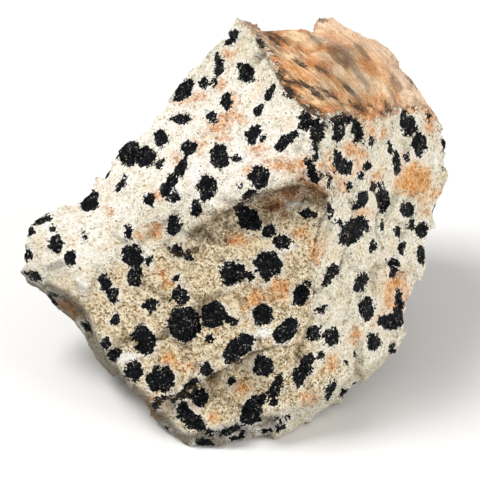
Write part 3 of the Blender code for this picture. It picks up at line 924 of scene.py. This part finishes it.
# %% Crust, hairlines and spilled rust
edge_shift = add_node(tree, MULTIPLY, mottle_swing, 1.6)
thread_swing = add_node(tree, SUBTRACT, threads, 0.5)
edge_shift = add_node(tree, TIMES_PLUS, thread_swing, 2.2, edge_shift)
rind_edge = add_node(tree, ADD, marks["rind"], edge_shift)
on_rind = add_node(tree, SPAN, rind_edge, 0.44, 0.56)
off_rind = add_node(tree, SUBTRACT, 1.0, on_rind)
near_edge = add_node(tree, SUBTRACT, marks["rind"], 0.6)
near_edge = add_node(tree, SIZE_OF, near_edge)
near_edge = add_node(tree, SPAN, near_edge, 0.45, 0.15)
thread_line = add_node(tree, SUBTRACT, threads, 0.47)
thread_line = add_node(tree, SIZE_OF, thread_line)
hairline = add_node(tree, SPAN, thread_line, 0.03, 0.005)
hairline_reach = add_node(tree, ADD, near_edge, 0.25)
hairline = add_node(tree, MULTIPLY_HELD, hairline, hairline_reach)
rind = add_node(tree, MIX, hairline, rind, "#3f2d20")
surface = add_node(tree, MIX, on_rind, surface, rind)
spill = add_node(tree, SPAN, mottle, 0.46, 0.58, 0.0, 0.85)
spill = add_node(tree, MULTIPLY, spill, near_edge)
spill = add_node(tree, MULTIPLY, spill, off_rind)
surface = add_node(tree, MIX, spill, surface, "#c9722e")
crust = add_node(tree, SUBTRACT, rind_edge, 0.52)
crust = add_node(tree, SIZE_OF, crust)
crust = add_node(tree, SPAN, crust, 0.14, 0.04)
crust_luck = add_node(tree, SPAN, clouds, 0.42, 0.54, 0.0, 0.9)
crust = add_node(tree, MULTIPLY, crust, crust_luck)
surface = add_node(tree, MIX, crust, surface, "#3a2a1e")
print("edge of the rind:", len(tree.nodes), "nodes")

# %% [markdown]
# ## Painted shade and a brown tint
#
# The undercut flank, the foot and the riser under the ledge are painted a darker grey-brown.
# This is painted shade for the shadow they lie in, mixed with a brownish tint of the stone.
# The black grains cover it, so it comes before them.

# %% Painted shade on the flank, the foot and the ledge
SHADE_AND_TINT_COVER = 0.78  # how much of the stone the darkest painted shade covers

shade_and_tint_share = add_node(tree, MULTIPLY, marks["dusky"], SHADE_AND_TINT_COVER)
surface = add_node(tree, MIX, shade_and_tint_share, surface, "#4a3f32")
print("soil:", len(tree.nodes), "nodes")

# %% [markdown]
# ## Black spots
#
# The spots are clumps of black amphibole grains, with a few black ones strayed outside. A few
# pale specks lie among them: some are pale grains caught in the clump, and some are painted
# glints, for the light that the glossy black grains reflect. Their distance is shifted by a
# noise and by each grain's tone, so that the edge runs between grains. A white halo, poor in
# iron, rings some of them.

# %% Spots, specks and halos
WOBBLE_SIZE = 1.1  # mm

wobble = add_node(tree, NOISE, in_mm, 7.0, 1 / WOBBLE_SIZE, 3.0, 0.65)
wobble = add_node(tree, SUBTRACT, wobble, 0.54)
spot_edge = add_node(tree, TIMES_PLUS, wobble, 1.9, marks["spot_distance"])
spot_edge = add_node(tree, TIMES_PLUS, grain_swing, 0.26, spot_edge)
halo = add_node(tree, SPAN, spot_edge, 0.6, 0.0)
halo_luck = add_node(tree, SPAN, clouds, 0.45, 0.6, 0.0, 0.75)
halo = add_node(tree, MULTIPLY, halo, halo_luck)
halo = add_node(tree, MULTIPLY, halo, off_rind)
surface = add_node(tree, MIX, halo, surface, "#f7f3ea")
stray_chance = add_node(tree, SPAN, spot_edge, 0.0, 0.3, 0.16, 0.004)
strayed = add_node(tree, BELOW, crumb_luck, stray_chance)
strayed = add_node(tree, MULTIPLY, strayed, 0.8)
in_spot = add_node(tree, SPAN, spot_edge, 0.02, -0.03)
# pale specks in the spots: partly pale grains, partly painted glints off the glossy black grains
pale_grains_and_glints = add_node(tree, ABOVE, crumb_luck, 0.92)
pale_grains_and_glints_reach = add_node(tree, SPAN, mottle, 0.46, 0.62, 0.0, 0.8)
pale_grains_and_glints = add_node(tree, MULTIPLY, pale_grains_and_glints, pale_grains_and_glints_reach)
black = add_node(tree, ("ShaderNodeValToRGB", {"stops": [
    (0.0, "#020203"), (0.6, "#0a0b0d"), (0.9, "#1c1f22"), (1.0, "#3a3e42")]}), crumb_tone)
black = add_node(tree, MIX, pale_grains_and_glints, black, "#b9b2a4")
dark = add_node(tree, LARGER, in_spot, strayed)
dulled = add_node(tree, TIMES_PLUS, on_rind, -0.45, 1.0)
dark = add_node(tree, MULTIPLY, dark, dulled)
surface = add_node(tree, MIX, dark, surface, black)
print("spots:", len(tree.nodes), "nodes")

# %% [markdown]
# ## Painted shade in the crevices
#
# The crevices get painted shade on top of their real groove: a brown darkening where the skin
# sank, and a dark thread down the middle of each cleft, finer than the net of the skin, for the
# shadow under each lip. Both lie over everything else, so they come last.

# %% Painted shade in the crevices
# painted shade: darker brown where the skin sank into a groove
crevice_shade = add_node(tree, SPAN, marks["sunk"], 0.08, 0.5)
crevice_shade_luck = add_node(tree, SPAN, mottle, 0.3, 0.6, 0.25, 0.7)
crevice_shade = add_node(tree, MULTIPLY, crevice_shade, crevice_shade_luck)
surface = add_node(tree, MIX, crevice_shade, surface, "#5d4930")
# painted shadow: a dark thread along the middle of each cleft
cleft_edge = add_node(tree, TIMES_PLUS, mottle_swing, 1.1, marks["cleft_distance"])
cleft_shadow = add_node(tree, SPAN, cleft_edge, -0.02, 0.2, 0.8, 0.0)
cleft_shadow_luck = add_node(tree, SPAN, clouds, 0.4, 0.55, 0.25, 1.0)
cleft_shadow = add_node(tree, MULTIPLY, cleft_shadow, cleft_shadow_luck)
surface = add_node(tree, MIX, cleft_shadow, surface, "#40301f")
print("dust:", len(tree.nodes), "nodes")

# %% [markdown]
# ## Shine and grain relief
#
# A dry break is matt, because every grain faces another way. Here and there one grain lies flat
# and glints, and the black grains are glossier. The bump is the height of the grains, a fraction
# of a millimetre, over the real relief that the skin already has. Quartz bends light by 1.54.

# %% The finished stone
QUARTZ_IOR = 1.54
LOW_SHINE = 0.06  # the specular level of a surface whose grains scatter nearly all light
DRY_ROUGHNESS = 0.86
BUMP_HEIGHT = 0.16 * MM

glint = add_node(tree, SPAN, grain_gloss, 0.85, 1.0, 0.0, 0.3)
roughness = add_node(tree, SUBTRACT, DRY_ROUGHNESS, glint)
roughness = add_node(tree, TIMES_PLUS, in_spot, -0.22, roughness)
sugar = add_node(tree, TIMES_PLUS, crumbs.outputs["Distance"], 0.5,
                 grains.outputs["Distance"])
sugar = add_node(tree, TIMES_PLUS, mottle, 1.6, sugar)
bump = add_node(tree, "ShaderNodeBump", Strength=0.8, Distance=BUMP_HEIGHT, Height=sugar)
shader = add_node(tree, "ShaderNodeBsdfPrincipled", Base_Color=surface, Roughness=roughness,
                  Normal=bump, IOR=QUARTZ_IOR, Specular_IOR_Level=LOW_SHINE)
add_node(tree, "ShaderNodeOutputMaterial", Surface=shader)
print("stone:", len(tree.nodes), "nodes")

# %% The skin takes the solid's place
skin_mesh.materials.clear()
skin_mesh.materials.append(stone)
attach(skin, "root")
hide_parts("rock")
print("rock_skin stands for the solid rock")

# %% [markdown]
# ## A small studio
#
# The stone stands on a plain pale floor under big soft lights: one high on the left, a gentler
# one on the right, and an even grey-white room. That keeps shadows soft; the ledge and the
# undercut read by their relief and by the shade painted into their colour. The floor is uncoated
# matt paper board, whose pressed fibres spread light evenly, so it is nearly white and hardly
# shines.

# %% Floor
FLOOR_HALF = 2.0  # metres
FLOOR_GAP = 0.05 * MM  # keeps the floor and the stone's flat foot from sharing one plane
PAPER_ROUGHNESS = 0.9

floor_mesh = bpy.data.meshes.new("floor")
floor_mesh.from_pydata(
    [(-FLOOR_HALF, -FLOOR_HALF, 0), (FLOOR_HALF, -FLOOR_HALF, 0), (FLOOR_HALF, FLOOR_HALF, 0),
     (-FLOOR_HALF, FLOOR_HALF, 0)], [], [(0, 1, 2, 3)]
)
for corner in floor_mesh.vertices:
    corner.co.z = -FLOOR_GAP
paper = bpy.data.materials.new("matt_paper")
paper.use_nodes = True
paper_shader = paper.node_tree.nodes["Principled BSDF"]
paper_shader.inputs["Base Color"].default_value = linear("#f4f3f1")
paper_shader.inputs["Roughness"].default_value = PAPER_ROUGHNESS
floor_mesh.materials.append(paper)
floor = bpy.data.objects.new("floor", floor_mesh)
bpy.context.scene.collection.objects.link(floor)
print("floor:", 2 * FLOOR_HALF, "m wide")

# %% Lights
LIT_POINT = Vector((0, 0, 0.018))  # metres, near the stone's middle
ROOM_STRENGTH = 0.49


def soft_light(name, place, power, size):
    """A square light aimed at the stone. Its place and size are in metres."""
    data = bpy.data.lights.new(name, "AREA")
    data.energy = power
    data.size = size
    lamp = bpy.data.objects.new(name, data)
    lamp.location = place
    aim = LIT_POINT - Vector(place)
    lamp.rotation_euler = aim.to_track_quat("-Z", "Y").to_euler()
    bpy.context.scene.collection.objects.link(lamp)
    print(name, power, "W,", round(aim.length * 100), "cm from the stone")


soft_light("key_light", (-0.24, 0.02, 0.44), power=1.9, size=0.20)
soft_light("fill_light", (0.44, -0.22, 0.16), power=1.4, size=0.30)
world = bpy.data.worlds.new("studio")
world.use_nodes = True
world.node_tree.nodes["Background"].inputs["Color"].default_value = linear("#f5f6f8")
world.node_tree.nodes["Background"].inputs["Strength"].default_value = ROOM_STRENGTH
bpy.context.scene.world = world
bpy.context.scene.view_settings.view_transform = "Standard"
